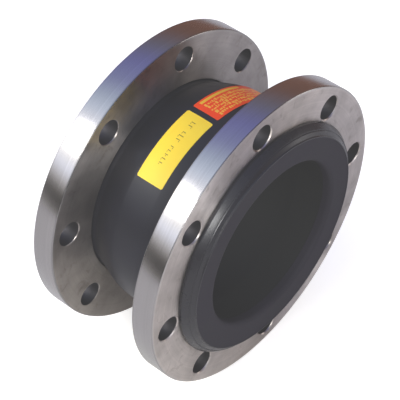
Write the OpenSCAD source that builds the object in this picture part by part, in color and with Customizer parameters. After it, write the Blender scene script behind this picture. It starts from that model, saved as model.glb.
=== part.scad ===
// Single-arch rubber expansion joint with two floating steel flanges.
// The pipe axis is X and the origin is the middle of the joint.
// Every ring is drawn as a section (radius, distance along the axis) and revolved.

/* [Joint] */
// Length between the two sealing faces
face_to_face = 152.4; // [150:0.2:156]
// Diameter of the flow bore
bore_d = 152.4; // [148:0.2:154]
// Outer diameter of the rubber neck behind each flange
neck_d = 186; // [185:0.5:187]
// Outer diameter of the arch crown
crown_d = 204.6; // [196:0.2:214]
// Width of the nearly flat crown of the arch
crown_w = 27; // [20:1:32]
// Width of the whole arch, from neck to neck
arch_w = 79; // [70:1:80]

/* [Flanges] */
// Outer diameter of a flange plate
flange_d = 279.4; // [276:0.2:300]
// Thickness of a flange plate
flange_t = 22; // [20:0.5:23]
// Diameter of the bolt circle
bolt_circle_d = 241.3; // [241:0.1:244]
// Number of bolt holes in a flange
bolt_holes = 8; // [4:4:12]
// Diameter of a bolt hole
bolt_hole_d = 22.2; // [18:0.2:22.4]
// Angle of the near flange's first bolt hole, from +Y towards +Z
near_hole_angle = 3.9; // [0:0.1:44]
// Angle of the far flange's first bolt hole, from +Y towards +Z
far_hole_angle = 33.5; // [0:0.1:44]

/* [Rubber] */
// Height of the sealing face above the flange plate
seal_h = 11; // [10:0.5:12]
// Outer diameter of the lip that lies in front of the flange plate
seal_lip_d = 217; // [214:0.5:218]
// Outer diameter of the flat sealing face
seal_face_d = 200; // [190:1:204]
// Rounding of the bore edge at the sealing face
bore_edge_r = 4.5; // [4:0.5:7]
// Thickness of the inner tube
tube_t = 4; // [3:0.1:4]
// Thickness of one cord ply
ply_t = 1.2; // [1:0.1:1.2]

/* [Bead] */
// Diameter of one wire of the bead hoop
wire_d = 1.8; // [1.2:0.1:1.8]
// Wires along each side of the square bead bundle
wires_per_side = 4; // [2:1:4]
// Thickness of the fabric wrap round the wires
wrap_t = 0.8; // [0.5:0.1:0.8]

/* [Labels] */
// Thickness of a label
label_t = 0.4; // [0.2:0.1:0.6]
// Width of a label, along the pipe axis
label_w = 26; // [15:1:26]
// Start angle of the yellow label, from +Y towards +Z
yellow_start = 93.7; // [92:0.1:110]
// Arc of the yellow label
yellow_arc = 38.7; // [10:0.1:60]
// Start angle of the red label, from +Y towards +Z
red_start = 36; // [0:0.1:60]
// Arc of the red label
red_arc = 54.4; // [10:0.1:55]

/* [Hidden] */
$fn = 180;

plies = 4;
layer_gap = 0.2;              // between two layers of the rubber wall
bundle_gap = 0.3;             // round the wrapped wire bundle
wire_gap = 0.04;              // between two wires
swivel_gap = 0.5;             // between the bead and the flange that turns on it
land_gap = 0.8;               // between the neck and the flange's narrowest part
edge = 1;                     // chamfer on machined edges
cut = 1;                      // how far a cutter runs past the metal
arch_steps = 12;              // straight pieces in each half of an arch outline
arc_steps = 8;                // straight pieces in a quarter round
label_steps = 8;              // straight pieces across a label
wire_facets = 24;             // sides of one wire's section

// Sizes inside the bead and the flange's recess
seat_depth = 5;               // from the flange's back face to the bead's seat
seat_r = 9;                   // round seat between the land and the recess
recess_h = 10.2;              // from the land out to the recess wall
lip_t = 2.5;                  // thickness of the lip at its edge
tube_lead = 2;                // tube past the flange's front face
turnup_back = 3.8;            // from the flange's front face back to the first turned-up ply
turnup_over = 1.6;            // turned-up plies past the bundle
filler_w = 3.2;               // width of the wedge behind the bundle
filler_step = 1;              // wedge below the bundle's outer corner
wedge_lift = 1;               // bead's inner end above the plies
crown_drop = 0.05;            // share of the rise lost between crown middle and crown edge
flank_power = 1.3;            // fullness of the flanks

// Stations along the axis, from the middle of the joint
face_x = face_to_face / 2;
front_x = face_x - seal_h;
back_x = front_x - flange_t;
seat_x = back_x + seat_depth; // where the flange opens out for the bead
cover_end_x = seat_x - edge;
tube_end_x = front_x + tube_lead;

// Radii
bore_r = bore_d / 2;
neck_r = neck_d / 2;
arch_rise = (crown_d - neck_d) / 2;
land_r = neck_r + land_gap;
recess_r = land_r + recess_h;
seat_centre_r = recess_r - seat_r;
carcass_r = bore_r + tube_t + layer_gap;
ply_pitch = ply_t + layer_gap;
cover_in_r = carcass_r + plies * ply_pitch;

// Bead bundle: the wrapped wires stand between the plies and their turned-up ends
wire_pitch = wire_d + wire_gap;
bundle = (wires_per_side - 1) * wire_pitch + wire_d;
wrap_side = bundle + 2 * wrap_t + bundle_gap;
wrap_in_r = cover_in_r + bundle_gap;
turnup_x = front_x - turnup_back;
turnup_r = wrap_in_r + wrap_side + turnup_over;
wrap_end_x = turnup_x - bundle_gap;
wrap_start_x = wrap_end_x - wrap_side;
filler_end_x = wrap_start_x - bundle_gap;

// Height of the arch at x, as a share of its rise
function arch(x) =
    let (a = abs(x), c = crown_w / 2, h = arch_w / 2)
    a <= c ? 1 - crown_drop * pow(a / c, 2)
    : a < h ? (1 - crown_drop) * (1 - pow((a - c) / (h - c), flank_power))
    : 0;

// Stations at which an arch outline is drawn, from -half to half
function stations(half) =
    let (
        c = crown_w / 2,
        h = arch_w / 2,
        flank = [for (i = [0:arch_steps]) c + (h - c) * i / arch_steps],
        right = concat([0, c / 2], flank, [half]),
        left = [for (i = [len(right) - 1:-1:1]) -right[i]]
    )
    concat(left, right);

// Points round part of a circle, by angle
function round_points(r, x, radius, from, to) =
    [for (i = [0:arc_steps])
        let (a = from + (to - from) * i / arc_steps)
        [r + radius * cos(a), x + radius * sin(a)]];

// Turns a part drawn round Z so that Z lies along the pipe axis and X along +Y
module along_x() {
    rotate([90, 0, 90]) children();
}

module ring(outline) {
    rotate_extrude() polygon(outline);
}

module far_side() {
    mirror([0, 0, 1]) children();
}

// One layer of the rubber wall between two radii, following the arch
module wall_layer(inner_r, outer_r, half) {
    xs = stations(half);
    outer = [for (x = xs) [outer_r + arch_rise * arch(x), x]];
    inner = [for (i = [len(xs) - 1:-1:0]) [inner_r + arch_rise * arch(xs[i]), xs[i]]];
    ring(concat(outer, inner));
}

module bolt_hole() {
    hole_r = bolt_hole_d / 2;
    translate([bolt_circle_d / 2, 0, back_x - cut]) cylinder(r = hole_r, h = flange_t + 2 * cut);
    translate([bolt_circle_d / 2, 0, front_x - edge])
        cylinder(r1 = hole_r, r2 = hole_r + edge + cut, h = edge + cut);
    translate([bolt_circle_d / 2, 0, back_x - cut])
        cylinder(r1 = hole_r + edge + cut, r2 = hole_r, h = edge + cut);
}

// Solid plate whose bore opens into a round seat and a recess for the bead
module flange(hole_angle) {
    rim_r = flange_d / 2;
    outline = concat(
        [[land_r + edge, back_x], [rim_r - edge, back_x], [rim_r, back_x + edge]],
        [[rim_r, front_x - edge], [rim_r - edge, front_x], [recess_r + edge, front_x]],
        [[recess_r, front_x - edge]],
        round_points(seat_centre_r, seat_x + seat_r, seat_r, 0, -90),
        [[land_r, seat_x], [land_r, back_x + edge]]
    );
    difference() {
        ring(outline);
        for (i = [0:bolt_holes - 1])
            rotate(hole_angle + 360 * i / bolt_holes) bolt_hole();
    }
}

// Moulded rubber bead that fills the flange's recess and carries the sealing face
module sealing_bead() {
    lip_r = seal_lip_d / 2;
    lip_back_x = front_x + swivel_gap;
    lip_front_x = lip_back_x + lip_t;
    bulb_r = recess_r - swivel_gap;
    core_r = wrap_in_r + wrap_side + layer_gap;
    wedge_r = cover_in_r + wedge_lift;
    wedge_x = filler_end_x - filler_w * (core_r - wedge_r) / wrap_side - layer_gap;
    outline = concat(
        [[wedge_r, cover_end_x + layer_gap], [neck_r, cover_end_x + layer_gap]],
        [[neck_r, seat_x + swivel_gap]],
        round_points(seat_centre_r, seat_x + seat_r, seat_r - swivel_gap, -90, 0),
        [[bulb_r, lip_back_x], [lip_r, lip_back_x], [lip_r, lip_front_x]],
        [[seal_face_d / 2, face_x]],
        round_points(bore_r + bore_edge_r, face_x - bore_edge_r, bore_edge_r, 90, 180),
        [[bore_r, tube_end_x + layer_gap], [turnup_r + layer_gap, tube_end_x + layer_gap]],
        [[turnup_r + layer_gap, turnup_x - layer_gap], [core_r, turnup_x - layer_gap]],
        [[core_r, filler_end_x], [wedge_r, wedge_x]]
    );
    ring(outline);
}

// Square bundle of steel hoops
module bead_wire() {
    first_r = wrap_in_r + wrap_t + (bundle_gap + wire_d) / 2;
    first_x = wrap_start_x + wrap_t + (bundle_gap + wire_d) / 2;
    for (i = [0:wires_per_side - 1])
        for (j = [0:wires_per_side - 1])
            rotate_extrude()
                translate([first_r + i * wire_pitch, first_x + j * wire_pitch])
                    circle(d = wire_d, $fn = wire_facets);
}

module bead_wrap() {
    rotate_extrude()
        translate([wrap_in_r, wrap_start_x])
            difference() {
                square(wrap_side);
                translate([wrap_t, wrap_t]) square(wrap_side - 2 * wrap_t);
            }
}

// Hard rubber wedge between the bundle and the neck
module bead_filler() {
    ring([
        [wrap_in_r, filler_end_x - filler_w],
        [wrap_in_r + wrap_side - filler_step, filler_end_x],
        [wrap_in_r, filler_end_x]
    ]);
}

// One layer of cord, with both ends turned up in front of the bead bundle
module cord_ply(number) {
    inner_r = carcass_r + (number - 1) * ply_pitch;
    leg_x = turnup_x + (plies - number) * ply_pitch;
    leg = [
        [inner_r, leg_x],
        [turnup_r, leg_x],
        [turnup_r, leg_x + ply_t],
        [inner_r, leg_x + ply_t]
    ];
    union() {
        wall_layer(inner_r, inner_r + ply_t, leg_x + ply_t);
        ring(leg);
        far_side() ring(leg);
    }
}

// Thin sheet that follows the crown over part of a turn
module label(start, arc) {
    base_r = neck_r + layer_gap;
    xs = [for (i = [0:label_steps]) label_w * (i / label_steps - 1 / 2)];
    outer = [for (x = xs) [base_r + label_t + arch_rise * arch(x), x]];
    inner = [for (i = [label_steps:-1:0]) [base_r + arch_rise * arch(xs[i]), xs[i]]];
    rotate(start) rotate_extrude(angle = arc) polygon(concat(outer, inner));
}

module far_flange() {
    color("silver") along_x() far_side() flange(far_hole_angle);
}

module near_flange() {
    color("silver") along_x() flange(near_hole_angle);
}

module far_sealing_bead() {
    color("dimgray") along_x() far_side() sealing_bead();
}

module near_sealing_bead() {
    color("dimgray") along_x() sealing_bead();
}

module far_bead_wire() {
    color("goldenrod") along_x() far_side() bead_wire();
}

module near_bead_wire() {
    color("goldenrod") along_x() bead_wire();
}

module far_bead_wrap() {
    color("tan") along_x() far_side() bead_wrap();
}

module near_bead_wrap() {
    color("tan") along_x() bead_wrap();
}

module far_bead_filler() {
    color("black") along_x() far_side() bead_filler();
}

module near_bead_filler() {
    color("black") along_x() bead_filler();
}

module inner_tube() {
    color("darkslategray") along_x() wall_layer(bore_r, bore_r + tube_t, tube_end_x);
}

module cord_ply_1() {
    color("wheat") along_x() cord_ply(1);
}

module cord_ply_2() {
    color("burlywood") along_x() cord_ply(2);
}

module cord_ply_3() {
    color("wheat") along_x() cord_ply(3);
}

module cord_ply_4() {
    color("burlywood") along_x() cord_ply(4);
}

module outer_cover() {
    color("darkslategray") along_x() wall_layer(cover_in_r, neck_r, cover_end_x);
}

module yellow_label() {
    color("gold") along_x() label(yellow_start, yellow_arc);
}

module red_label() {
    color("orangered") along_x() label(red_start, red_arc);
}

far_flange();
near_flange();
far_sealing_bead();
near_sealing_bead();
far_bead_wire();
near_bead_wire();
far_bead_wrap();
near_bead_wrap();
far_bead_filler();
near_bead_filler();
inner_tube();
cord_ply_1();
cord_ply_2();
cord_ply_3();
cord_ply_4();
outer_cover();
yellow_label();
red_label();
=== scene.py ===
import bpy
import bmesh
import math
import random
from mathutils import Matrix, Vector


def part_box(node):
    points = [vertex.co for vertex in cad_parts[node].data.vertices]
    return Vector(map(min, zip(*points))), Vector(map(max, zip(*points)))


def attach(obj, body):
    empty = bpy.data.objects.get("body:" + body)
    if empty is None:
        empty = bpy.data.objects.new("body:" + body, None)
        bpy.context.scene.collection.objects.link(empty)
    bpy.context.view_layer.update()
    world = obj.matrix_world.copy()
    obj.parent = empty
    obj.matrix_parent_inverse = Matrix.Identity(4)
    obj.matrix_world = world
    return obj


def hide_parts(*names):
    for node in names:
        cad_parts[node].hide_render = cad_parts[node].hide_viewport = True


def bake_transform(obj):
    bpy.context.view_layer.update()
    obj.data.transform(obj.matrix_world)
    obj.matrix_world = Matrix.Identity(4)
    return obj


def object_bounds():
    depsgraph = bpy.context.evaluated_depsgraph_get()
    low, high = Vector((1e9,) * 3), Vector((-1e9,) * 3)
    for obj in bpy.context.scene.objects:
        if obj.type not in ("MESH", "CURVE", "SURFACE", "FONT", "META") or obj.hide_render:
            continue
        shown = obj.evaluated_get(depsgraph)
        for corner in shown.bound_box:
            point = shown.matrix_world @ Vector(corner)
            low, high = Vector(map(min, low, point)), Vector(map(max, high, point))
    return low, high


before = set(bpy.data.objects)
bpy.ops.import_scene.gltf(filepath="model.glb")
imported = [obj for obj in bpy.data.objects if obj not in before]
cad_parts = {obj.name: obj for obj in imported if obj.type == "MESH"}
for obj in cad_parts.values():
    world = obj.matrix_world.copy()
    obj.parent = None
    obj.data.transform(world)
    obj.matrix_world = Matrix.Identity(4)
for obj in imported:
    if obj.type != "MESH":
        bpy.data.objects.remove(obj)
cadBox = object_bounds()
mm = 0.001

# where things are along the pipe axis and how far out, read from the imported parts
plateLow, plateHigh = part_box("near_flange")
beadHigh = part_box("near_sealing_bead")[1]
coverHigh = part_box("outer_cover")[1]
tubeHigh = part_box("inner_tube")[1]
backX, frontX = plateLow.x, plateHigh.x
faceX = beadHigh.x
coverEndX = coverHigh.x
tubeEndX = tubeHigh.x
plateR = max(plateHigh.y, plateHigh.z)
lipR = max(beadHigh.y, beadHigh.z)
crownR = max(coverHigh.y, coverHigh.z)
print("frame loaded:", len(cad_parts), "parts")

# the rubber wall between the two beads
wall = {
    "boreRadius": 76.2 * mm,
    "neckRadius": 93.0 * mm,
    "crownHalf": 13.5 * mm,
    "archHalf": 39.5 * mm,
    "crownDrop": 0.05,         # how far the crown falls to its edges, as a share of the rise
    "flankPower": 1.3,
    "zoneEnd": 43.5 * mm,      # from here on the wall sits still in its bead
    "axialStep": 1.5 * mm,
    "aroundSteps": 192,
}
archRise = crownR - wall["neckRadius"]


def arch(x):
    # height of the arch at x, as a share of its rise
    away = abs(x)
    crown, foot = wall["crownHalf"], wall["archHalf"]
    if away <= crown:
        return 1 - wall["crownDrop"] * (away / crown) ** 2
    if away < foot:
        return (1 - wall["crownDrop"]) * (1 - ((away - crown) / (foot - crown)) ** wall["flankPower"])
    return 0.0


def linear(hexText):
    # sRGB hex to the linear colour a shader wants
    out = []
    for i in (0, 2, 4):
        v = int(hexText[i:i + 2], 16) / 255
        out.append(v / 12.92 if v <= 0.04045 else ((v + 0.055) / 1.055) ** 2.4)
    return (*out, 1.0)


def addNode(material, kind, settings=None, links=None):
    # one node with its settings, and its inputs linked to other nodes' outputs
    node = material.node_tree.nodes.new(kind)
    for key, value in (settings or {}).items():
        if isinstance(key, int) or key in node.inputs:
            node.inputs[key].default_value = value
        else:
            setattr(node, key, value)
    for key, socket in (links or {}).items():
        material.node_tree.links.new(socket, node.inputs[key])
    return node


def newMaterial(name, values):
    material = bpy.data.materials.new(name)
    material.use_nodes = True
    shader = material.node_tree.nodes["Principled BSDF"]
    for key, value in values.items():
        shader.inputs[key].default_value = value
    return material, shader


def connect(material, output, shader, socket):
    material.node_tree.links.new(output, shader.inputs[socket])


def aroundAxis(material):
    # where a point is: its place, how far along the pipe, how far out from the axis, and the
    # arc length round the crown, all in metres
    place = addNode(material, "ShaderNodeTexCoord")
    split = addNode(material, "ShaderNodeSeparateXYZ", links={0: place.outputs["Object"]})
    x, y, z = split.outputs
    flat = addNode(material, "ShaderNodeCombineXYZ", {"X": 0.0}, {"Y": y, "Z": z})
    radius = addNode(material, "ShaderNodeVectorMath", {"operation": "LENGTH"}, {0: flat.outputs[0]})
    turn = addNode(material, "ShaderNodeMath", {"operation": "ARCTAN2"}, {0: z, 1: y})
    arc = addNode(material, "ShaderNodeMath", {"operation": "MULTIPLY", 1: crownR},
                  {0: turn.outputs[0]})
    return {"place": place.outputs["Object"], "along": x, "radius": radius.outputs["Value"],
            "arc": arc.outputs[0]}


# flange plates: carbon steel, faced and turned on a lathe, clear zinc plated.
# The eye gets a warm grey satin face whose reflections are drawn out across the turning
# rings, and a shinier rim with light and dark bands.
def makePlateSteel():
    material, shader = newMaterial("turned zinc plated steel",
                                   {"Metallic": 1.0, "Anisotropic": 0.85, "Anisotropic Rotation": 0.25})
    around = aroundAxis(material)
    grooves = addNode(material, "ShaderNodeTangent", {"direction_type": "RADIAL", "axis": "X"})
    connect(material, grooves.outputs["Tangent"], shader, "Tangent")
    ringPitch = 1.6 * mm      # real rings are 0.2 mm apart, drawn coarser to show
    rings = addNode(material, "ShaderNodeCombineXYZ", {"Z": 0.0},
                    {"X": around["radius"], "Y": around["along"]})
    turned = addNode(material, "ShaderNodeTexNoise",
                     {"Scale": 1 / ringPitch, "Detail": 3.0, "Roughness": 0.6},
                     {"Vector": rings.outputs[0]})
    clouds = addNode(material, "ShaderNodeTexNoise",
                     {"Scale": 1 / (28 * mm), "Detail": 4.0, "Roughness": 0.55},
                     {"Vector": around["place"]})
    grain = addNode(material, "ShaderNodeTexNoise",
                    {"Scale": 1 / (0.9 * mm), "Detail": 2.0}, {"Vector": around["place"]})
    cloudTone = addNode(material, "ShaderNodeMapRange",
                        {"From Min": 0.34, "From Max": 0.66, "To Min": 0.0, "To Max": 1.0},
                        {"Value": clouds.outputs["Fac"]})
    colour = addNode(material, "ShaderNodeMix",
                     {"data_type": "RGBA", "A": linear("b0a8a2"), "B": linear("d0c8c2")},
                     {"Factor": cloudTone.outputs[0]})
    # brownish hand and oil stains, and metal worn bright along the outer edges
    stains = addNode(material, "ShaderNodeTexNoise",
                     {"Scale": 1 / (12 * mm), "Detail": 7.0, "Roughness": 0.65, "Distortion": 0.6},
                     {"Vector": around["place"]})
    stainShare = addNode(material, "ShaderNodeMapRange",
                         {"From Min": 0.56, "From Max": 0.72, "To Min": 0.0, "To Max": 0.5},
                         {"Value": stains.outputs["Fac"]})
    stained = addNode(material, "ShaderNodeMix", {"data_type": "RGBA", "B": linear("75675b")},
                      {"Factor": stainShare.outputs[0], "A": colour.outputs["Result"]})
    nearEdge = addNode(material, "ShaderNodeMapRange",
                       {"From Min": plateR - 2.6 * mm, "From Max": plateR - 1.0 * mm,
                        "To Min": 0.0, "To Max": 1.0}, {"Value": around["radius"]})
    wearShare = addNode(material, "ShaderNodeMath", {"operation": "MULTIPLY"},
                        {0: nearEdge.outputs[0], 1: stains.outputs["Fac"]})
    worn = addNode(material, "ShaderNodeMix", {"data_type": "RGBA", "B": linear("d6d1cc")},
                   {"Factor": wearShare.outputs[0], "A": stained.outputs["Result"]})
    # painted shade: the faces that look into the joint, between the two plates, are darkened to 0.74 of
    # the plate colour
    depth = addNode(material, "ShaderNodeMath", {"operation": "ABSOLUTE"}, {0: around["along"]})
    paintedJointShade = addNode(material, "ShaderNodeMapRange",
                     {"From Min": backX + 0.5 * mm, "From Max": backX + 3 * mm,
                      "To Min": 0.74, "To Max": 1.0}, {"Value": depth.outputs[0]})
    toolLines = addNode(material, "ShaderNodeMapRange",
                        {"From Min": 0.3, "From Max": 0.7, "To Min": 0.93, "To Max": 1.05},
                        {"Value": turned.outputs["Fac"]})
    onRim = addNode(material, "ShaderNodeMapRange",
                    {"From Min": plateR - 1.4 * mm, "From Max": plateR - 0.5 * mm,
                     "To Min": 0.0, "To Max": 1.0}, {"Value": around["radius"]})
    base = addNode(material, "ShaderNodeMix",
                   {"data_type": "RGBA", "B": linear("a5a2a0")},
                   {"Factor": onRim.outputs[0], "A": worn.outputs["Result"]})
    toolLinesAndJointShade = addNode(material, "ShaderNodeMath", {"operation": "MULTIPLY"},
                      {0: paintedJointShade.outputs[0], 1: toolLines.outputs[0]})
    toned = addNode(material, "ShaderNodeVectorMath", {"operation": "SCALE"},
                    {0: base.outputs["Result"], "Scale": toolLinesAndJointShade.outputs[0]})
    connect(material, toned.outputs["Vector"], shader, "Base Color")
    faceRough = addNode(material, "ShaderNodeMapRange",
                        {"From Min": 0.3, "From Max": 0.7, "To Min": 0.34, "To Max": 0.44},
                        {"Value": clouds.outputs["Fac"]})
    rough = addNode(material, "ShaderNodeMix", {"data_type": "FLOAT", "B": 0.25},
                    {"Factor": onRim.outputs[0], "A": faceRough.outputs[0]})
    connect(material, rough.outputs["Result"], shader, "Roughness")
    ringBump = addNode(material, "ShaderNodeBump", {"Strength": 0.12, "Distance": 0.04 * mm},
                       {"Height": turned.outputs["Fac"]})
    bump = addNode(material, "ShaderNodeBump", {"Strength": 0.06, "Distance": 0.03 * mm},
                   {"Height": grain.outputs["Fac"], "Normal": ringBump.outputs["Normal"]})
    connect(material, bump.outputs["Normal"], shader, "Normal")
    return material


# drilled hole walls: the same steel, torn and roughened by the drill, and painted dark as the shade
# inside the holes. The eye gets a dark hole with faint feed marks, so that the bright chamfer stands
# out.
def makeDrilledSteel():
    material, shader = newMaterial("drilled steel painted dark as hole shade", {"Metallic": 1.0, "Roughness": 0.55})
    around = aroundAxis(material)
    holeShadeMottle = addNode(material, "ShaderNodeTexNoise", {"Scale": 1 / (9 * mm), "Detail": 4.0},
                    {"Vector": around["place"]})
    # painted shade: the two dark tones stand for the shade inside the holes
    colour = addNode(material, "ShaderNodeMix",
                     {"data_type": "RGBA", "A": linear("3a383b"), "B": linear("5f5c5d")},
                     {"Factor": holeShadeMottle.outputs["Fac"]})
    connect(material, colour.outputs["Result"], shader, "Base Color")
    feed = addNode(material, "ShaderNodeCombineXYZ", {"Y": 0.0, "Z": 0.0}, {"X": around["along"]})
    marks = addNode(material, "ShaderNodeTexNoise", {"Scale": 1 / (0.5 * mm), "Detail": 1.0},
                    {"Vector": feed.outputs[0]})
    bump = addNode(material, "ShaderNodeBump", {"Strength": 0.4, "Distance": 0.08 * mm},
                   {"Height": marks.outputs["Fac"]})
    connect(material, bump.outputs["Normal"], shader, "Normal")
    return material


# EPDM rubber, moulded against turned steel: charcoal with a bluish bloom, whose violet tint is
# partly a painted sheen of the blue sky. The eye gets a soft broad sheen, broken by the mould's
# fine skin and its faint rings.
def makeRubber(name, dark, bloomAndSheenTint, roughLow, roughHigh, shine):
    material, shader = newMaterial(name, {"Specular IOR Level": shine, "IOR": 1.5})
    around = aroundAxis(material)
    bloomAndSheenMap = addNode(material, "ShaderNodeTexNoise",
                       {"Scale": 1 / (35 * mm), "Detail": 5.0, "Roughness": 0.6},
                       {"Vector": around["place"]})
    # the second colour is real bloom, tinted violet as a painted sheen of the blue sky
    colour = addNode(material, "ShaderNodeMix",
                     {"data_type": "RGBA", "A": linear(dark), "B": linear(bloomAndSheenTint)},
                     {"Factor": bloomAndSheenMap.outputs["Fac"]})
    connect(material, colour.outputs["Result"], shader, "Base Color")
    skin = addNode(material, "ShaderNodeTexNoise",
                   {"Scale": 1 / (1.1 * mm), "Detail": 3.0, "Roughness": 0.7},
                   {"Vector": around["place"]})
    rough = addNode(material, "ShaderNodeMapRange",
                    {"From Min": 0.3, "From Max": 0.7, "To Min": roughLow, "To Max": roughHigh},
                    {"Value": bloomAndSheenMap.outputs["Fac"]})
    connect(material, rough.outputs[0], shader, "Roughness")
    # faint rings left by the turned mould
    rings = addNode(material, "ShaderNodeCombineXYZ", {"Z": 0.0},
                    {"X": around["radius"], "Y": around["along"]})
    mould = addNode(material, "ShaderNodeTexNoise", {"Scale": 1 / (2.2 * mm), "Detail": 2.0},
                    {"Vector": rings.outputs[0]})
    mouldBump = addNode(material, "ShaderNodeBump", {"Strength": 0.2, "Distance": 0.08 * mm},
                        {"Height": mould.outputs["Fac"]})
    bump = addNode(material, "ShaderNodeBump", {"Strength": 0.35, "Distance": 0.06 * mm},
                   {"Height": skin.outputs["Fac"], "Normal": mouldBump.outputs["Normal"]})
    connect(material, bump.outputs["Normal"], shader, "Normal")
    return material


# rubber-dipped nylon tyre cord, laid on the bias. The eye gets tan ridges with dark dips between.
def makeCord(name, lean):
    material, shader = newMaterial(name, {"Roughness": 0.7})
    around = aroundAxis(material)
    cordPitch = 1.2 * mm
    across = addNode(material, "ShaderNodeMath", {"operation": "MULTIPLY_ADD", 1: lean},
                     {0: around["arc"], 2: around["along"]})
    phase = addNode(material, "ShaderNodeMath",
                    {"operation": "MULTIPLY", 1: 2 * math.pi / cordPitch / math.sqrt(2)},
                    {0: across.outputs[0]})
    wave = addNode(material, "ShaderNodeMath", {"operation": "SINE"}, {0: phase.outputs[0]})
    height = addNode(material, "ShaderNodeMapRange",
                     {"From Min": -1.0, "From Max": 1.0, "To Min": 0.0, "To Max": 1.0},
                     {"Value": wave.outputs[0]})
    colour = addNode(material, "ShaderNodeMix",
                     {"data_type": "RGBA", "A": linear("4a3c28"), "B": linear("b39a6c")},
                     {"Factor": height.outputs[0]})
    connect(material, colour.outputs["Result"], shader, "Base Color")
    bump = addNode(material, "ShaderNodeBump", {"Strength": 0.6, "Distance": 0.2 * mm},
                   {"Height": height.outputs[0]})
    connect(material, bump.outputs["Normal"], shader, "Normal")
    return material


# bronze-coated drawn wire. The eye gets bright brown metal with draw lines along the hoop.
def makeBeadWire():
    material, shader = newMaterial("bronze coated bead wire", {"Metallic": 1.0})
    around = aroundAxis(material)
    stretch = addNode(material, "ShaderNodeCombineXYZ", {"Z": 0.0},
                      {"X": around["radius"], "Y": around["along"]})
    lines = addNode(material, "ShaderNodeTexNoise", {"Scale": 1 / (0.3 * mm), "Detail": 2.0},
                    {"Vector": stretch.outputs[0]})
    colour = addNode(material, "ShaderNodeMix",
                     {"data_type": "RGBA", "A": linear("8d6a35"), "B": linear("c9a366")},
                     {"Factor": lines.outputs["Fac"]})
    connect(material, colour.outputs["Result"], shader, "Base Color")
    rough = addNode(material, "ShaderNodeMapRange", {"To Min": 0.25, "To Max": 0.42},
                    {"Value": lines.outputs["Fac"]})
    connect(material, rough.outputs[0], shader, "Roughness")
    return material


# printed polyester film. The eye gets a flat saturated colour with a soft gloss, and slight
# waves where the film was pressed on.
def makeFilm(name, low, high, rough):
    material, shader = newMaterial(name, {"IOR": 1.5, "Roughness": rough, "Specular IOR Level": 0.25})
    around = aroundAxis(material)
    tone = addNode(material, "ShaderNodeTexNoise", {"Scale": 1 / (14 * mm), "Detail": 3.0},
                   {"Vector": around["place"]})
    colour = addNode(material, "ShaderNodeMix",
                     {"data_type": "RGBA", "A": linear(low), "B": linear(high)},
                     {"Factor": tone.outputs["Fac"]})
    connect(material, colour.outputs["Result"], shader, "Base Color")
    waves = addNode(material, "ShaderNodeTexNoise", {"Scale": 1 / (7 * mm), "Detail": 1.0},
                    {"Vector": around["place"]})
    bump = addNode(material, "ShaderNodeBump", {"Strength": 0.25, "Distance": 0.1 * mm},
                   {"Height": waves.outputs["Fac"]})
    connect(material, bump.outputs["Normal"], shader, "Normal")
    return material


# painted studio floor. The eye gets a pale, almost even ground with a trace of roller texture.
def makeFloorPaint():
    material, shader = newMaterial("pale matt floor paint",
                                   {"Roughness": 0.8, "Specular IOR Level": 0.1,
                                    "Emission Color": linear("ffffff")})
    path = addNode(material, "ShaderNodeLightPath")
    lift = addNode(material, "ShaderNodeMapRange", {"To Min": 0.03, "To Max": 0.6},
                   {"Value": path.outputs["Is Camera Ray"]})      # keeps its shadows faint
    connect(material, lift.outputs[0], shader, "Emission Strength")
    place = addNode(material, "ShaderNodeTexCoord")
    roller = addNode(material, "ShaderNodeTexNoise", {"Scale": 1 / (60 * mm), "Detail": 3.0},
                     {"Vector": place.outputs["Object"]})
    colour = addNode(material, "ShaderNodeMix",
                     {"data_type": "RGBA", "A": linear("d9d5cd"), "B": linear("ded9d1")},
                     {"Factor": roller.outputs["Fac"]})
    connect(material, colour.outputs["Result"], shader, "Base Color")
    return material


plateSteel = makePlateSteel()
drilledSteel = makeDrilledSteel()
# the second colour of each rubber is its bloom; on the cover and bead rubbers its violet tint is a
# painted sheen of the blue sky
coverRubber = makeRubber("moulded cover rubber", "161619", "201f2a", 0.32, 0.42, 0.22)
beadRubber = makeRubber("dull sealing face rubber", "201e23", "2d2933", 0.5, 0.62, 0.08)
skinRubber = makeRubber("glossy moulded bead skin", "17161a", "201e25", 0.22, 0.34, 0.34)
tubeRubber = makeRubber("smooth lining rubber", "1c1c1c", "222222", 0.6, 0.75, 0.08)
fillerRubber = makeRubber("hard bead wedge rubber", "0f0f10", "181819", 0.5, 0.6, 0.4)
cordLeft = makeCord("nylon cord laid left", -1.0)
cordRight = makeCord("nylon cord laid right", 1.0)
wrapFabric = makeCord("bead wrap fabric", 0.4)
beadWire = makeBeadWire()
yellowFilm = makeFilm("yellow printed film", "fad22c", "fddb38", 0.38)
redFilm = makeFilm("red printed film", "fb4206", "ff500a", 0.4)
stripeInk = makeFilm("yellow stripe ink", "fcb624", "ffc738", 0.4)
darkInk = makeFilm("dark olive ink", "80701f", "978530", 0.5)
paleInk = makeFilm("pale orange ink", "ffaa34", "ffc446", 0.45)
print("materials made")


def shade(bm, sharpAngle):
    # smooth but for the real edges
    for face in bm.faces:
        face.smooth = True
    for edge in bm.edges:
        edge.smooth = not edge.is_manifold or edge.calc_face_angle() < math.radians(sharpAngle)


def finishMesh(name, bm, material, sharpAngle=28):
    # clean shell with outward normals
    bmesh.ops.remove_doubles(bm, verts=bm.verts[:], dist=0.002 * mm)
    bmesh.ops.recalc_face_normals(bm, faces=bm.faces[:])
    shade(bm, sharpAngle)
    mesh = bpy.data.meshes.new(name)
    bm.to_mesh(mesh)
    bm.free()
    piece = bpy.data.objects.new(name, mesh)
    bpy.context.scene.collection.objects.link(piece)
    mesh.materials.append(material)
    return piece


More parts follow.
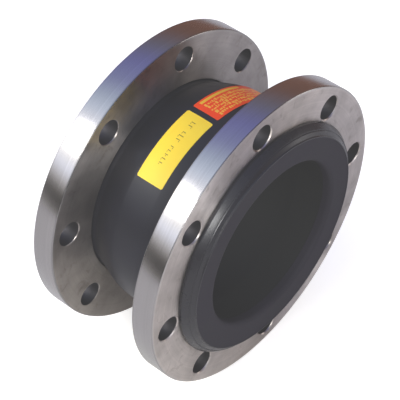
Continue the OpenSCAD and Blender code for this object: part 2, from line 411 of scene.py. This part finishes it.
def rounded(corners, segments=5):
    # outline from corners of (radius, x, rounding), each rounding drawn as an arc
    points = []
    count = len(corners)
    for i, (r, x, fillet) in enumerate(corners):
        here = Vector((r, x))
        before = Vector(corners[i - 1][:2]) - here
        after = Vector(corners[(i + 1) % count][:2]) - here
        if fillet <= 0:
            points.append(here)
            continue
        angle = before.angle(after)
        reach = fillet / math.tan(angle / 2)
        inward = (before.normalized() + after.normalized()).normalized()
        centre = here + inward * fillet / math.sin(angle / 2)
        first = here + before.normalized() * reach - centre
        last = here + after.normalized() * reach - centre
        sweep = first.angle_signed(last)
        for k in range(segments + 1):
            turn = Matrix.Rotation(-sweep * k / segments, 2)
            points.append(centre + turn @ first)
    return points


def spun(bm, outline, centre=(0, 0, 0), outward=(0, 0, 1), steps=192, closed=True):
    # spins an outline of (radius, x) about a line along the pipe axis
    middle = Vector(centre)
    out = Vector(outward)
    verts = [bm.verts.new(middle + out * r + Vector((x, 0, 0))) for r, x in outline]
    pairs = list(zip(verts, verts[1:]))
    if closed:
        pairs.append((verts[-1], verts[0]))
    edges = [bm.edges.new(pair) for pair in pairs]
    bmesh.ops.spin(bm, geom=verts + edges, cent=middle, axis=(1, 0, 0), angle=2 * math.pi,
                   steps=steps, use_merge=True)


def flipped(outline):
    # the same outline on the far side of the joint
    return [(r, -x) for r, x in outline]


# flange plate: turned disc with a recess for the bead and chamfered bolt holes
plate = {
    "landRadius": 93.8 * mm,
    "recessRadius": 104.0 * mm,
    "seatRadius": 9.0 * mm,
    "seatX": backX + 5.0 * mm,
    "rimRounding": 1.1 * mm,
    "edgeRounding": 1.0 * mm,
    "boltCircle": 241.3 * mm,
    "holeRadius": 11.1 * mm,
    "holeChamfer": 0.9 * mm,
    "holes": 8,
    "nearHoleAngle": 3.9,
    "farHoleAngle": 33.5,
    "cutterReach": 2 * mm,     # how far a cutter runs past the metal
    "seatSteps": 8,
    "holeSteps": 56,
    "rimSteps": 256,
    "wallTilt": 0.3,           # a face that looks this far along the pipe isn't a hole's wall
    "sharpAngle": 20,
}


def makePlate(name, node, body, side, holeAngle):
    p = plate
    seatCentre = Vector((p["recessRadius"] - p["seatRadius"], p["seatX"] + p["seatRadius"]))
    corners = [
        (plateR, backX, p["rimRounding"]),
        (plateR, frontX, p["rimRounding"]),
        (p["recessRadius"], frontX, p["edgeRounding"]),
        (p["recessRadius"], seatCentre.y, 0),
    ]
    outline = rounded(corners)
    for k in range(p["seatSteps"]):
        a = math.radians(90 * (k + 1) / p["seatSteps"])
        outline.append(seatCentre + p["seatRadius"] * Vector((math.cos(a), -math.sin(a))))
    outline += rounded([(p["landRadius"], p["seatX"], 0), (p["landRadius"], backX, p["edgeRounding"]),
                        (plateR, backX, 0)])[:-1]
    points = [(v[0], v[1] * side) for v in outline]
    bm = bmesh.new()
    spun(bm, points, steps=p["rimSteps"])
    disc = finishMesh(name, bm, plateSteel)
    bm = bmesh.new()
    hole, chamfer, reach = p["holeRadius"], p["holeChamfer"], p["cutterReach"]
    cutter = [(0, backX - reach), (hole + chamfer + reach, backX - reach), (hole, backX + chamfer),
              (hole, frontX - chamfer), (hole + chamfer + reach, frontX + reach), (0, frontX + reach)]
    for i in range(p["holes"]):
        a = math.radians(holeAngle) + 2 * math.pi * i / p["holes"]
        out = Vector((0, math.cos(a), math.sin(a)))
        spun(bm, [(r, x * side) for r, x in cutter], centre=out * p["boltCircle"] / 2,
             outward=out, steps=p["holeSteps"], closed=False)
    drill = finishMesh(name + "_drill", bm, drilledSteel)
    cut = disc.modifiers.new("drill", "BOOLEAN")
    cut.object = drill
    cut.operation = "DIFFERENCE"
    cut.solver = "EXACT"
    cut.material_mode = "TRANSFER"
    bpy.context.view_layer.update()
    done = bpy.data.meshes.new_from_object(disc.evaluated_get(bpy.context.evaluated_depsgraph_get()))
    disc.modifiers.clear()
    disc.data = done
    bpy.data.objects.remove(drill)
    bm = bmesh.new()
    bm.from_mesh(done)
    for face in bm.faces:
        if abs(face.normal.x) > p["wallTilt"]:      # a chamfer is as bright as the plate
            face.material_index = 0
    shade(bm, p["sharpAngle"])
    bm.to_mesh(done)
    bm.free()
    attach(disc, body)
    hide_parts(node)


makePlate("near_plate", "near_flange", "near_flange", 1, plate["nearHoleAngle"])
makePlate("far_plate", "far_flange", "far_flange", -1, plate["farHoleAngle"])
print("plates turned and drilled")

# moulded bead: bulb in the plate's recess, lip over the plate, two sloped bands, a fine
# mould line and the flat sealing ring with its rounded bore edge
bead = {
    "startX": coverEndX + 0.2 * mm,
    "wedgeRadius": 87.0 * mm,
    "bulbRadius": 103.5 * mm,
    "bulbRounding": 8.4 * mm,
    "seatX": backX + 5.5 * mm,
    "gap": 0.5 * mm,
    "lipDepth": 2.6 * mm,
    "lipRounding": 2.2 * mm,
    "grooveRadius": 103.9 * mm,
    "grooveHeight": 0.72,       # share of the way from the plate to the sealing face
    "grooveDepth": 0.7 * mm,
    "bandWidth": 0.5 * mm,      # how far the second band steps in from the groove
    "faceRadius": 100.2 * mm,
    "ridgeWidth": 0.9 * mm,
    "ridgeHeight": 0.5 * mm,
    "boreEdge": 4.5 * mm,
    "cavityRadius": 97.4 * mm,  # room for the turned-up plies
    "cavityDepth": 4.0 * mm,    # below the plate's front
    "coreRadius": 95.8 * mm,    # room for the wire bundle
    "coreX": backX + 8.4 * mm,
    "layerGap": 0.2 * mm,       # clear of the tube's end
}


def beadOutline():
    b = bead
    bore = wall["boreRadius"]
    lipBack = frontX + b["gap"]
    grooveX = frontX + b["grooveHeight"] * (faceX - frontX)
    ridge = b["ridgeWidth"]
    corners = [
        (b["wedgeRadius"], b["startX"], 0),
        (wall["neckRadius"], b["startX"], 0),
        (wall["neckRadius"], b["seatX"], 0.6 * mm),
        (b["bulbRadius"], b["seatX"], b["bulbRounding"]),
        (b["bulbRadius"], lipBack, 0.3 * mm),
        (lipR, lipBack, 0.5 * mm),
        (lipR, lipBack + b["lipDepth"], b["lipRounding"]),
        (b["grooveRadius"] + b["grooveDepth"], grooveX, 0.5 * mm),
        (b["grooveRadius"], grooveX - b["grooveDepth"] * 0.4, 0.12 * mm),
        (b["grooveRadius"] - b["bandWidth"], grooveX + b["bandWidth"], 0.4 * mm),
        (b["faceRadius"] + 0.3 * mm, faceX - 0.7 * mm, 0.25 * mm),
        (b["faceRadius"], faceX + b["ridgeHeight"], 0.3 * mm),
        (b["faceRadius"] - ridge, faceX + b["ridgeHeight"], 0.3 * mm),
        (b["faceRadius"] - ridge - 0.3 * mm, faceX, 0.15 * mm),
        (bore, faceX, b["boreEdge"]),
        (bore, tubeEndX + b["layerGap"], 0),
        (b["cavityRadius"], tubeEndX + b["layerGap"], 0),
        (b["cavityRadius"], frontX - b["cavityDepth"], 0),
        (b["coreRadius"], frontX - b["cavityDepth"], 0),
        (b["coreRadius"], b["coreX"], 0),
    ]
    return [(v[0], v[1]) for v in rounded(corners, 6)]


for side, end in ((1, "near"), (-1, "far")):
    bm = bmesh.new()
    outline = beadOutline() if side == 1 else flipped(beadOutline())
    spun(bm, outline, steps=wall["aroundSteps"])
    piece = finishMesh(end + "_bead", bm, beadRubber)
    piece.data.materials.append(skinRubber)
    for face in piece.data.polygons:
        radius = math.hypot(face.center.y, face.center.z)
        face.material_index = 1 if radius > bead["faceRadius"] - bead["ridgeWidth"] else 0
    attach(piece, end + "_end")
    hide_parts(end + "_sealing_bead")
print("beads moulded")

# layers of the wall, each cut into three rings. Each has its inner and outer radius at the
# neck, its half length, its material and its slot
layers = {
    "inner_tube": (wall["boreRadius"], 80.2 * mm, tubeEndX, tubeRubber, "tube_rubber"),
    "cord_ply_1": (80.4 * mm, 81.6 * mm, 66.6 * mm, cordLeft, "cord_fabric"),
    "cord_ply_2": (81.8 * mm, 83.0 * mm, 65.2 * mm, cordRight, "cord_fabric"),
    "cord_ply_3": (83.2 * mm, 84.4 * mm, 63.8 * mm, cordLeft, "cord_fabric"),
    "cord_ply_4": (84.6 * mm, 85.8 * mm, 62.4 * mm, cordRight, "cord_fabric"),
    "outer_cover": (86.0 * mm, wall["neckRadius"], coverEndX, coverRubber, "cover_rubber"),
}
innerSteps = 128              # round a layer that the cover hides
turnUp = {"radius": 97.0 * mm, "thickness": 1.2 * mm}
zones = {
    "far": (-wall["zoneEnd"], -wall["crownHalf"], "far_end", "arch_far_half"),
    "crown": (-wall["crownHalf"], wall["crownHalf"], "arch_far_half", "arch_near_half"),
    "near": (wall["crownHalf"], wall["zoneEnd"], "arch_near_half", "near_end"),
}


def stations(low, high):
    count = max(2, round((high - low) / wall["axialStep"]))
    return [low + (high - low) * i / count for i in range(count + 1)]


def ringOutline(inner, outer, low, high):
    xs = stations(low, high)
    top = [(outer + archRise * arch(x), x) for x in xs]
    bottom = [(inner + archRise * arch(x), x) for x in reversed(xs)]
    return top + bottom


def plyOutline(inner, outer, low, high, end):
    # a ply's end stands up in front of the wire bundle
    outline = ringOutline(inner, outer, low, high)
    t = turnUp["thickness"]
    edge = high if end > 0 else low
    corner = [(turnUp["radius"], edge), (turnUp["radius"], edge - t * end), (outer, edge - t * end)]
    count = len(outline) // 2
    if end > 0:
        return outline[:count - 1] + corner[::-1] + outline[count:]
    return corner + outline[1:]


for layer, (inner, outer, half, material, slotName) in layers.items():
    for zone, (start, end, bodyA, bodyB) in zones.items():
        low = -half if zone == "far" else start
        high = half if zone == "near" else end
        if layer.startswith("cord_ply") and zone != "crown":
            outline = plyOutline(inner, outer, low, high, 1 if zone == "near" else -1)
        else:
            outline = ringOutline(inner, outer, low, high)
        bm = bmesh.new()
        spun(bm, outline, steps=wall["aroundSteps"] if layer == "outer_cover" else innerSteps)
        piece = finishMesh(layer + "_" + zone, bm, material)
        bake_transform(piece)
        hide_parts(layer)
print("wall layers laid up")

# film labels on the crown, and what is printed on them. start and arc are degrees round the
# pipe axis from +Y, low and high are places along it
film = {
    "thickness": 0.35 * mm,
    "clearance": 0.15 * mm,
    "corner": 0.9 * mm,
    "print": 0.06 * mm,
    "alongStep": 1.2 * mm,
    "acrossStep": 1.6 * mm,
}
yellowLabel = {"start": 93.7, "arc": 38.7, "low": -12.4 * mm, "high": 14.0 * mm}
redLabel = {"start": 36.0, "arc": 54.4, "low": -12.6 * mm, "high": 13.8 * mm}


def onCrown(degrees, x, lift):
    r = wall["neckRadius"] + archRise * arch(x) + lift
    a = math.radians(degrees)
    return Vector((x, r * math.cos(a), r * math.sin(a)))


def curvedSheet(bm, startArc, endArc, low, high, lift, thickness, corner=0.0):
    # a flat sheet bent round the crown; arcs in degrees, corners rounded
    length = math.radians(abs(endArc - startArc)) * crownR
    along = max(2, round(length / film["alongStep"]))
    across = max(2, round((high - low) / film["acrossStep"]))
    made = bmesh.ops.create_grid(bm, x_segments=along, y_segments=across, size=0.5)
    middle = (low + high) / 2
    for v in made["verts"]:
        u = v.co.x + 0.5
        w = v.co.y * (high - low)
        inset = min(u, 1 - u) * length
        if inset < corner:
            w *= 1 - (corner - math.sqrt(corner ** 2 - (corner - inset) ** 2)) / ((high - low) / 2)
        v.co = onCrown(startArc + (endArc - startArc) * u, middle + w, lift)
    faces = list({f for v in made["verts"] for f in v.link_faces})
    bmesh.ops.recalc_face_normals(bm, faces=faces)
    if faces[0].normal.dot(faces[0].calc_center_median()) < 0:
        bmesh.ops.reverse_faces(bm, faces=faces)
    bmesh.ops.solidify(bm, geom=faces, thickness=thickness)


def crownPiece(name, bm, material, nodeName):
    piece = finishMesh(name, bm, material, sharpAngle=50)
    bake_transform(piece)
    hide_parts(nodeName)


def printMark(bm, startArc, endArc, low, high):
    # one mark of ink, standing its own thickness above the film
    lift = film["clearance"] + film["thickness"] + film["print"]
    curvedSheet(bm, startArc, endArc, low, high, lift, film["print"])


for name, facts, material, slotName in (("yellow_label", yellowLabel, yellowFilm, "yellow_film"),
                                        ("red_label", redLabel, redFilm, "red_film")):
    bm = bmesh.new()
    curvedSheet(bm, facts["start"], facts["start"] + facts["arc"], facts["low"], facts["high"],
                film["clearance"] + film["thickness"], film["thickness"], film["corner"])
    crownPiece(name + "_film", bm, material, name)

random.seed(7)

# groups of plain ticks and dashes stand where a maker prints the size
ticks = {
    "margin": 4.5,
    "pitch": 2.2,
    "thin": 0.4,
    "wide": 1.3,
    "dashGap": 0.25,
    "groupGap": 1.98,
    "height": 2.4 * mm,
    "shares": (0.6, 0.8, 1.0),
    "middle": 0.6 * mm,
    "halfDash": 0.25 * mm,
    "groups": (2, 3, 5),
}
bm = bmesh.new()
at = yellowLabel["start"] + ticks["margin"]
for group in ticks["groups"]:
    for i in range(group):
        half = ticks["height"] * random.choice(ticks["shares"])
        dash = ticks["middle"] + random.choice((-1, 0, 1)) * (half - ticks["halfDash"])
        printMark(bm, at, at + ticks["thin"], ticks["middle"] - half, ticks["middle"] + half)
        printMark(bm, at + ticks["thin"] + ticks["dashGap"], at + ticks["wide"],
                  dash - ticks["halfDash"], dash + ticks["halfDash"])
        at += ticks["pitch"]
    at += ticks["groupGap"]
crownPiece("yellow_label_print", bm, darkInk, "yellow_label")

# one long stripe heads the red label
stripe = {"startMargin": 23, "endMargin": 3.2, "low": 1.8 * mm, "high": 4.6 * mm}
bm = bmesh.new()
printMark(bm, redLabel["start"] + stripe["startMargin"],
          redLabel["start"] + redLabel["arc"] - stripe["endMargin"],
          redLabel["low"] + stripe["low"], redLabel["low"] + stripe["high"])
crownPiece("red_label_stripe", bm, stripeInk, "red_label")

# rows of short blocks stand for its small print
smallPrint = {
    "rows": 5,
    "firstRow": 7.8 * mm,
    "rowPitch": 3.7 * mm,
    "startMargin": 3,
    "endMargin": 4,
    "widths": (0.6, 0.9, 1.2, 1.8),
    "halfHeights": (0.7 * mm, 1.1 * mm, 1.5 * mm),
    "shifts": (-0.4 * mm, 0.0, 0.4 * mm),
    "gaps": (0.4, 0.5, 0.8),
}
bm = bmesh.new()
for row in range(smallPrint["rows"]):
    x = redLabel["low"] + smallPrint["firstRow"] + smallPrint["rowPitch"] * row
    at = redLabel["start"] + smallPrint["startMargin"] + random.random()
    while at < redLabel["start"] + redLabel["arc"] - smallPrint["endMargin"]:
        width = random.choice(smallPrint["widths"])
        half = random.choice(smallPrint["halfHeights"])
        middle = x + random.choice(smallPrint["shifts"])
        printMark(bm, at, at + width, middle - half, middle + half)
        at += width + random.choice(smallPrint["gaps"])
crownPiece("red_label_print", bm, paleInk, "red_label")
print("labels pressed on")

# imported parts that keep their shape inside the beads
for end in ("far", "near"):
    for part, material in (("bead_wire", beadWire), ("bead_wrap", wrapFabric),
                           ("bead_filler", fillerRubber)):
        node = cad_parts[end + "_" + part]
        node.data.materials.clear()
        node.data.materials.append(material)
print("inner parts finished")

# floor under the rims
floor = {"radius": 1.3, "drop": 0.4 * mm}      # drop keeps it clear of the rims
bm = bmesh.new()
bmesh.ops.create_circle(bm, cap_ends=True, segments=96, radius=floor["radius"])
bmesh.ops.translate(bm, verts=bm.verts[:], vec=(0, 0, cadBox[0][2] - floor["drop"]))
ground = finishMesh("floor", bm, makeFloorPaint())

# studio light: colours round the pipe axis, in degrees from the +Y horizon over the top to
# the -Y horizon, so that the round rims show one even sweep of them
studio = {
    "strength": 3.0,
    "sweep": [(0, "56392e"), (22, "52382f"), (45, "505060"), (66, "585a8f"), (86, "6b7198"),
              (100, "909cb2"), (112, "b0bbce"), (122, "cdd1dd"), (134, "eeeeee"), (146, "e7e7e7"),
              (157, "dae0f1"), (166, "a3a1a3"), (173, "4a4642"), (180, "030303")],
    "frontShare": 0.55,        # how much of it is left in front of the joint
    "frontFrom": -0.25,        # where the dimming starts and ends, as x of the direction
    "frontTo": 0.35,
    "blackLift": 0.035,        # a light haze over the blacks
    "seen": "ffffff",
}
world = bpy.data.worlds.new("studio sweep")
world.use_nodes = True
tree = world.node_tree
background = tree.nodes["Background"]
background.inputs["Strength"].default_value = studio["strength"]
skyPlace = addNode(world, "ShaderNodeTexCoord")
skyAxes = addNode(world, "ShaderNodeSeparateXYZ", links={0: skyPlace.outputs["Generated"]})
skyTurn = addNode(world, "ShaderNodeMath", {"operation": "ARCTAN2"},
                  {0: skyAxes.outputs["Z"], 1: skyAxes.outputs["Y"]})
evenTurn = addNode(world, "ShaderNodeMath", {"operation": "ABSOLUTE"}, {0: skyTurn.outputs[0]})
share = addNode(world, "ShaderNodeMapRange",
                {"From Min": 0.0, "From Max": math.pi, "To Min": 0.0, "To Max": 1.0},
                {"Value": evenTurn.outputs[0]})
sweep = addNode(world, "ShaderNodeValToRGB", links={"Fac": share.outputs[0]})
stops = sweep.color_ramp.elements
for i, (degrees, hexText) in enumerate(studio["sweep"]):
    stop = stops[i] if i < 2 else stops.new(degrees / 180)
    stop.position = degrees / 180
    stop.color = linear(hexText)
inFront = addNode(world, "ShaderNodeMapRange",
                  {"From Min": studio["frontFrom"], "From Max": studio["frontTo"],
                   "To Min": 1.0, "To Max": studio["frontShare"]},
                  {"Value": skyAxes.outputs["X"]})
dimmed = addNode(world, "ShaderNodeVectorMath", {"operation": "SCALE"},
                 {0: sweep.outputs["Color"], "Scale": inFront.outputs[0]})
tree.links.new(dimmed.outputs["Vector"], background.inputs["Color"])

# the camera sees a plain white wall instead of the sweep
backWall = addNode(world, "ShaderNodeBackground", {"Color": linear(studio["seen"]), "Strength": 1.0})
skyPath = addNode(world, "ShaderNodeLightPath")
mixed = addNode(world, "ShaderNodeMixShader",
                links={0: skyPath.outputs["Is Camera Ray"], 1: background.outputs[0],
                       2: backWall.outputs[0]})
tree.links.new(mixed.outputs[0], tree.nodes["World Output"].inputs["Surface"])
bpy.context.scene.world = world
look = bpy.context.scene.view_settings
look.view_transform = "Standard"
look.use_curve_mapping = True
look.curve_mapping.black_level = (-studio["blackLift"],) * 3
look.curve_mapping.update()

# three soft boxes: one behind on the left gives the rims their white band, one in front on
# the left the streak on the near bead, and one low on the right brightens the near face.
# turn goes round the pipe axis, lean towards the front
lamps = {
    "rim soft box": {"turn": 134, "lean": -27, "distance": 1.5, "size": 0.56, "watts": 4.6},
    "bead soft box": {"turn": 138, "lean": 46, "distance": 1.3, "size": 0.3, "watts": 6},
    "face soft box": {"turn": 8, "lean": 37, "distance": 1.5, "size": 0.6, "watts": 2},
}
for name, facts in lamps.items():
    lamp = bpy.data.lights.new(name, "AREA")
    lamp.shape = "DISK"
    lamp.size = facts["size"]
    lamp.energy = facts["watts"]
    softBox = bpy.data.objects.new(name, lamp)
    turnAngle, leanAngle = math.radians(facts["turn"]), math.radians(facts["lean"])
    toLamp = Vector((math.sin(leanAngle), math.cos(leanAngle) * math.cos(turnAngle),
                     math.cos(leanAngle) * math.sin(turnAngle)))
    softBox.location = toLamp * facts["distance"]
    softBox.rotation_euler = toLamp.to_track_quat("Z", "Y").to_euler()
    bpy.context.scene.collection.objects.link(softBox)

# camera: a long lens aimed almost at the middle of the joint, in front and above
view = {
    "azimuth": 40.86,
    "elevation": 46.09,
    "distance": 1.2859,
    "fieldOfView": 15.08,
    "aimRight": -4.3 * mm,
    "aimUp": 0.6 * mm,
}
camera = bpy.data.objects.new("camera", bpy.data.cameras.new("camera"))
azimuth, elevation = math.radians(view["azimuth"]), math.radians(view["elevation"])
toCamera = Vector((math.sin(azimuth) * math.cos(elevation), -math.cos(azimuth) * math.cos(elevation),
                   math.sin(elevation)))
camera.rotation_euler = toCamera.to_track_quat("Z", "Y").to_euler()
aimRight = camera.rotation_euler.to_matrix() @ Vector((1, 0, 0)) * view["aimRight"]
aimUp = camera.rotation_euler.to_matrix() @ Vector((0, 1, 0)) * view["aimUp"]
camera.location = toCamera * view["distance"] + aimRight + aimUp
camera.data.angle = math.radians(view["fieldOfView"])
bpy.context.scene.collection.objects.link(camera)
bpy.context.scene.camera = camera
print("lights and camera placed")
